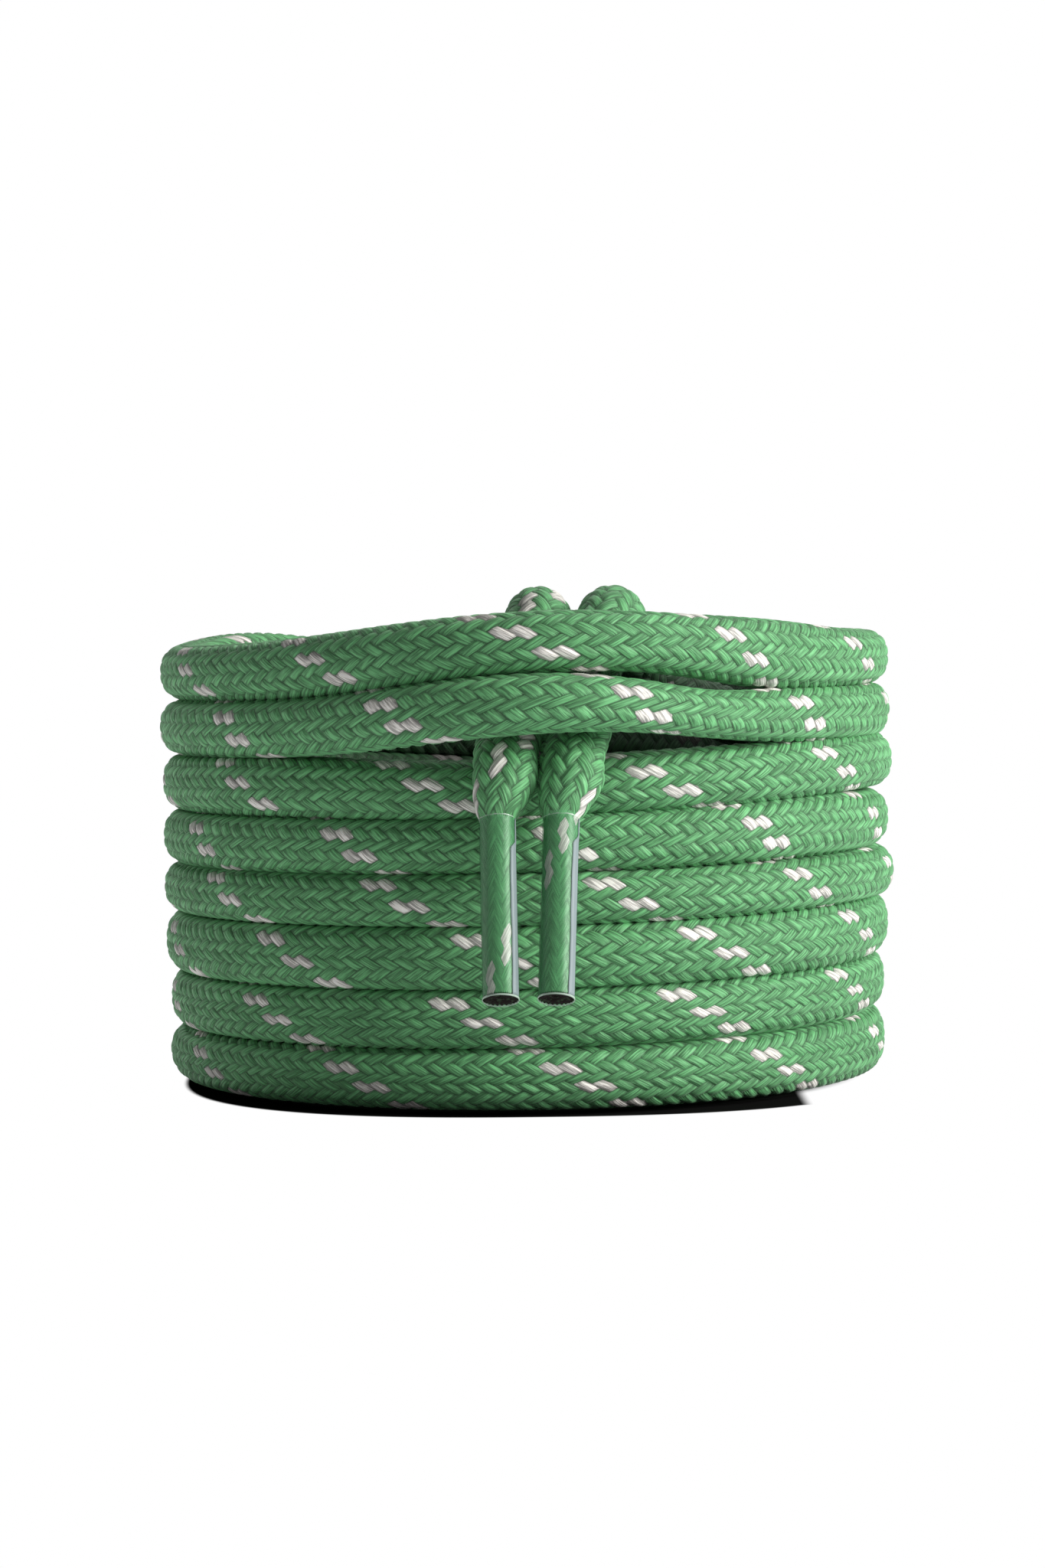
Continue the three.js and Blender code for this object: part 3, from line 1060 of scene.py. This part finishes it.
def new_piece(name, points, faces, material, side=None):
    """An object from points in the tip's own frame, where the mouth is the origin."""
    mesh = bpy.data.meshes.new(name)
    mesh.from_pydata([tuple(p) for p in points], [], faces)
    if side:
        mesh.transform(tip_matrix(side))
    mesh.polygons.foreach_set("use_smooth", [True] * len(mesh.polygons))
    mesh.materials.append(material)
    mesh.update()
    piece = bpy.data.objects.new(name, mesh)
    scene.collection.objects.link(piece)
    return piece


def grid_faces(rows, columns, closed=True):
    """Faces between rows of points, joined round if closed."""
    faces = []
    for start in range(0, (rows - 1) * columns, columns):
        for c in range(columns if closed else columns - 1):
            after = (c + 1) % columns
            faces.append((start + c, start + after, start + columns + after, start + columns + c))
    return faces


def film_outline():
    """Down the outside and back up the inside, as radius and distance below the mouth."""
    outer, inner = AGLET_DIAMETER / 2, AGLET_DIAMETER / 2 - FILM_THICKNESS
    round_off = FILM_THICKNESS / 4
    down = np.linspace(EDGE_BAND, AGLET_LENGTH - EDGE_BAND, FILM_RINGS)
    down = np.concatenate([[round_off], down, [AGLET_LENGTH - round_off]])
    outside = [(outer, d) for d in down]
    rim = [(outer - round_off, AGLET_LENGTH), (inner + round_off, AGLET_LENGTH)]
    inside = [(inner, d) for d in down[::-1]]
    top = [(inner + round_off, 0), (outer - round_off, 0), (outer, round_off)]
    return outside + rim + inside + top


def film(side, material):
    points = []
    for radius, down in film_outline():
        for i in range(FILM_SIDES):
            turn = 2 * math.pi * i / FILM_SIDES
            off = (turn - SEAM_AT + math.pi) % (2 * math.pi) - math.pi
            uneven = OUT_OF_ROUND * math.sin(3 * turn + 260 * down)
            uneven += PUCKER * math.exp(-((off / 0.35) ** 2)) * math.sin(900 * down + 2 * off)
            r = radius + (uneven if radius > AGLET_DIAMETER / 2 - FILM_THICKNESS / 2 else 0)
            points.append((r * math.sin(turn), -r * math.cos(turn), -down))
    rows = len(film_outline())
    piece = new_piece(f"{side}_film", points, grid_faces(rows, FILM_SIDES), material, side)
    piece.data.materials.append(film_edge)
    for face in piece.data.polygons:
        row = face.index // FILM_SIDES
        at_lower_end = FILM_RINGS <= row < FILM_RINGS + EDGE_ROWS
        face.material_index = int(row == 0 or at_lower_end or row >= rows - EDGE_ROWS + 1)
    return piece


print("points in the film's outline:", len(film_outline()))

# %% [markdown]
# Where the film lies double it shows as a pale strip: partly the milkiness of the double film,
# partly a painted reflection of the lamp. The strip is a thin closed band with slightly wavy
# edges, that starts narrow below the mouth of the film.

# %% Film overlap
SEAM_HALF = math.radians(17)
SEAM_OPENS = {"left": 0.16, "right": 0.13}  # the share of the film above its full width
SEAM_NARROW = 0.15  # of its full width, above that
SEAM_RAISED = 0.00005
SEAM_INSET = 0.00015  # from both ends of the film


def film_seam(side, material):
    rows, columns = 60, 7
    points = []
    for layer in (0, 1):
        for r in range(rows):
            down = SEAM_INSET + (AGLET_LENGTH - 2 * SEAM_INSET) * r / (rows - 1)
            wave = 0.05 * math.sin(700 * down) + 0.03 * math.sin(1900 * down + 1)
            opened_here = smooth((down / AGLET_LENGTH - SEAM_OPENS[side]) / 0.06 + 0.5)
            width = SEAM_NARROW + (1 - SEAM_NARROW) * opened_here
            for c in range(columns):
                share = 2 * c / (columns - 1) - 1
                turn = SEAM_AT + SEAM_HALF * (1 + (share - 1 + wave * (share < 0)) * width)
                lift = SEAM_RAISED * (1 - share**6) if layer else -SEAM_RAISED
                radius = AGLET_DIAMETER / 2 + lift
                points.append((radius * math.sin(turn), -radius * math.cos(turn), -down))
    size = rows * columns
    sheet = grid_faces(rows, columns, closed=False)
    faces = [f[::-1] for f in sheet] + [tuple(v + size for v in f) for f in sheet]
    edge = [r * columns for r in range(rows)]
    edge_far = [r * columns + columns - 1 for r in range(rows)]
    for line, way in ((edge, 1), (edge_far, -1)):
        faces += [(a, b, b + size, a + size)[::way] for a, b in zip(line, line[1:])]
    for start, way in ((0, -1), ((rows - 1) * columns, 1)):
        line = range(start, start + columns)
        faces += [(a, b, b + size, a + size)[::way] for a, b in zip(line, line[1:])]
    return new_piece(f"{side}_film_seam", points, faces, material, side)


films, seams = {}, {}
for side in MOUTHS:
    films[side] = film(side, clear_film)
    seams[side] = film_seam(side, double_film_and_gleam)
print("film faces:", len(films["left"].data.polygons))
print("overlap faces:", len(seams["left"].data.polygons))

# %% [markdown]
# ## Cut ends
# Inside the rim of the film the braid is cut straight across with a hot knife. The ends of the
# sheath's yarns stand in a ring round the dark filler yarns, all a little molten. A disc of
# rings is lifted and sunk by a few waves to make that lumpy face.

# %% Cut end
CUT_RINGS = 14
CUT_SIDES = 96
CUT_MIDDLE = 0.00025  # how far the middle point lies above the cut
CUT_HOLLOW = 0.00022  # and the filler yarns
CUT_LUMPS = 0.00006  # the sheath's yarns
CUT_GRAINS = 0.00005
FILLER_SHARE = 0.62  # of the radius


def cut_end(side, material):
    points = [(0.0, 0.0, -TIP_LENGTH + CUT_MIDDLE)]
    for r in range(1, CUT_RINGS + 1):
        share = r / CUT_RINGS
        for i in range(CUT_SIDES):
            turn = 2 * math.pi * i / CUT_SIDES
            in_sheath = max(0, share - FILLER_SHARE) / (1 - FILLER_SHARE)
            lumps = CUT_LUMPS * math.sin(2 * YARNS * turn) * in_sheath
            grains = CUT_GRAINS * math.sin(5 * turn + 9 * share) * math.cos(23 * share + 3 * turn)
            hollow = CUT_HOLLOW * (1 - smooth((share - 0.45) / 0.3))
            radius = PACKED_RADIUS * share
            depth = -TIP_LENGTH + hollow + lumps + grains * (1 - share) * 2
            points.append((radius * math.sin(turn), -radius * math.cos(turn), depth))
    faces = [(0, 1 + i, 1 + (i + 1) % CUT_SIDES) for i in range(CUT_SIDES)]
    faces += [tuple(v + 1 for v in f) for f in grid_faces(CUT_RINGS, CUT_SIDES)]
    return new_piece(f"{side}_cut_end", points, [f[::-1] for f in faces], material, side)


print("faces of a cut end:", CUT_SIDES * CUT_RINGS)

# %% [markdown]
# The melt is nearly black with a breath of green, rough, and beaded like any cut that was made
# with heat. Two noises give that: one mixes the two colours, the other lifts small beads.

# %% Cut finish
MELTED = linear(26, 22, 20)
MELTED_GREEN = linear(56, 70, 54)


def cut_finish():
    finish = new_finish("cut_end")
    coords = finish.node("ShaderNodeTexCoord", out=3)
    grain = finish.node("ShaderNodeTexNoise", values={"Vector": coords, "Scale": 2600, "Detail": 3})
    blobs = finish.node("ShaderNodeTexVoronoi", values={"Vector": coords, "Scale": 4200})
    share = smooth_step(finish, grain, 0.5, 0.68, 0, 1)
    bump = {"Distance": 0.00006, "Height": blobs}
    shader = finish.node(
        "ShaderNodeBsdfPrincipled",
        values={
            "Base Color": finish.mix_colours(share, MELTED, MELTED_GREEN),
            "Roughness": grain * 0.2 + 0.7,
            "Specular IOR Level": 0.1,
            "Normal": finish.node("ShaderNodeBump", values=bump),
        },
    )
    return finish.surface(shader)


cut_material = cut_finish()
cut_ends = {side: cut_end(side, cut_material) for side in MOUTHS}
print("cut ends:", [piece.name for piece in cut_ends.values()])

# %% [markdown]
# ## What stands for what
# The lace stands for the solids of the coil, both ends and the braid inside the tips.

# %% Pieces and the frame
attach(lace, "root")
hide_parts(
    "lower_turns", "upper_turns", "left_end", "right_end", "left_tip_braid", "right_tip_braid"
)
for side in MOUTHS:
    for piece in (films[side], seams[side], cut_ends[side]):
        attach(piece, "root")
    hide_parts(f"{side}_aglet")
    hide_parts(f"{side}_tip_core")
print("the lace, its middle line in m:", round(LACE_LENGTH, 3))

# %% [markdown]
# ## Light and floor
# One large soft lamp stands on the right, a little in front of the coil and above it, so that
# the turns are bright on the right and fall off into shade on the left.

# %% Key lamp
KEY_AT = (0.50, -0.19, 0.25)
KEY_SIZE = 0.30
KEY_POWER = 4.2
KEY_COLOUR = (1, 0.985, 0.95)
key_data = bpy.data.lights.new("key", "AREA")
key_data.color = KEY_COLOUR
key_data.size = KEY_SIZE
key_data.energy = KEY_POWER
key = bpy.data.objects.new("key", key_data)
scene.collection.objects.link(key)
key.location = KEY_AT
aim = Vector((0, coil_axis.y, 0.02)) - key.location
key.rotation_euler = aim.to_track_quat("-Z", "Y").to_euler()
print("key lamp from the coil in m:", round(aim.length, 2))

# %% [markdown]
# The coil stands on white paper. Seen from the coil, the paper glows: a painted bounce
# light, which lights the turns from below and so softens the shade. Close to the coil the
# glow gives way to a painted shade. To the camera, in reflections and through the film the
# paper is plain white, with a painted shadow: the thin dark line where the lowest turn meets
# it, which ends short on the right, where the lamp reaches under the turn, and a dim painted
# shade inside the coil.

# %% Paper
PAPER_LIGHT = 0.76  # how bright the paper's painted glow is, seen from the coil
PAPER_LIT = (0.031, 0.046)  # painted shade inside the first radius, full painted glow outside the second
PAPER_HALF = 3
PAPER_SINK = 0.0001  # so that it doesn't touch the lace
SHADOW_COLOUR = (0.01, 0.01, 0.01)
SHADOW_MIDDLE = 0.0012  # to the right of the axis
SHADOW_FRONT = (0.0328, 0.0334)  # inside the first the floor is dark, outside the second white
SHADOW_SQUARE = 2.5  # 2 would make the shadow's front edge round, and more squares it
SHADOW_BACK = (0.0334, 0.0344)  # the same for the round edge at the sides and the back
SHADOW_FORWARD = 0.004  # how far in front of the axis that round edge has its middle
SHADOW_RIGHT = (0.0224, 0.0236)  # and how far to the right it reaches
INSIDE_COIL = (0.0290, 0.0315)  # the painted shade of the paper inside the coil ends between these radii
INSIDE_SHADE = (0.10, 0.11, 0.10)


def seen(finish):
    """1 for rays from the camera, and in mirrors and glass, otherwise 0."""
    camera_ray, glossy, through_glass = finish.node("ShaderNodeLightPath", out=(0, 3, 6))
    return finish.maximum(finish.maximum(camera_ray, glossy), through_glass)


def mix_shaders(finish, share, first, second):
    return finish.node("ShaderNodeMixShader", values={0: share, 1: first, 2: second})


def paper_finish():
    finish = new_finish("floor")
    middle = (coil_axis.x + SHADOW_MIDDLE, coil_axis.y, 0)
    place = finish.node("ShaderNodeNewGeometry", out=0) - middle
    right, back = finish.node("ShaderNodeSeparateXYZ", values={0: place}, out=(0, 1))
    radius = (right**2 + (back + SHADOW_FORWARD) ** 2) ** 0.5
    squared = (abs(right) ** SHADOW_SQUARE + abs(back) ** SHADOW_SQUARE) ** (1 / SHADOW_SQUARE)
    outside = smooth_step(finish, squared, *SHADOW_FRONT, 0, 1)
    outside = finish.maximum(outside, smooth_step(finish, radius, *SHADOW_BACK, 0, 1))
    outside = finish.maximum(outside, smooth_step(finish, right, *SHADOW_RIGHT, 0, 1))
    from_axis = ((right + SHADOW_MIDDLE) ** 2 + back**2) ** 0.5
    inside = smooth_step(finish, from_axis, *INSIDE_COIL, 1, 0)
    dark = finish.node("ShaderNodeBsdfDiffuse", values={"Color": SHADOW_COLOUR})
    dim = finish.node("ShaderNodeBsdfDiffuse", values={"Color": INSIDE_SHADE})
    # The paper glows for rays from the coil: a painted bounce light.
    painted_glow = finish.node("ShaderNodeEmission", values={"Strength": PAPER_LIGHT})
    white = finish.node("ShaderNodeEmission", values={"Strength": 1})
    paper = mix_shaders(finish, smooth_step(finish, radius, *PAPER_LIT, 0, 1), dark, painted_glow)
    shown = mix_shaders(finish, inside, mix_shaders(finish, outside, dark, white), dim)
    return finish.surface(mix_shaders(finish, seen(finish), paper, shown))


corners = [(-1, -1), (1, -1), (1, 1), (-1, 1)]
corners = [(PAPER_HALF * x, PAPER_HALF * y, 0) for x, y in corners]
paper = new_piece("floor", corners, [(0, 1, 2, 3)], paper_finish())
paper.location.z = -PAPER_SINK
print("paper, in m:", [round(side, 2) for side in paper.dimensions])

# %% [markdown]
# The world is white to the camera and in reflections too, and gives almost no light.

# %% World
FILL_LEVEL = 0.02
world = bpy.data.worlds.new("world")
scene.world = world
sky_finish = Finish(world)
level = sky_finish.node("ShaderNodeMapRange", values={0: seen(sky_finish), 3: FILL_LEVEL, 4: 1})
sky = sky_finish.node("ShaderNodeBackground", values={"Color": (1, 1, 1), "Strength": level})
sky_finish.node("ShaderNodeOutputWorld", values={0: sky})
scene.view_settings.view_transform = "Standard"
print("light from the world:", FILL_LEVEL)

# %% [markdown]
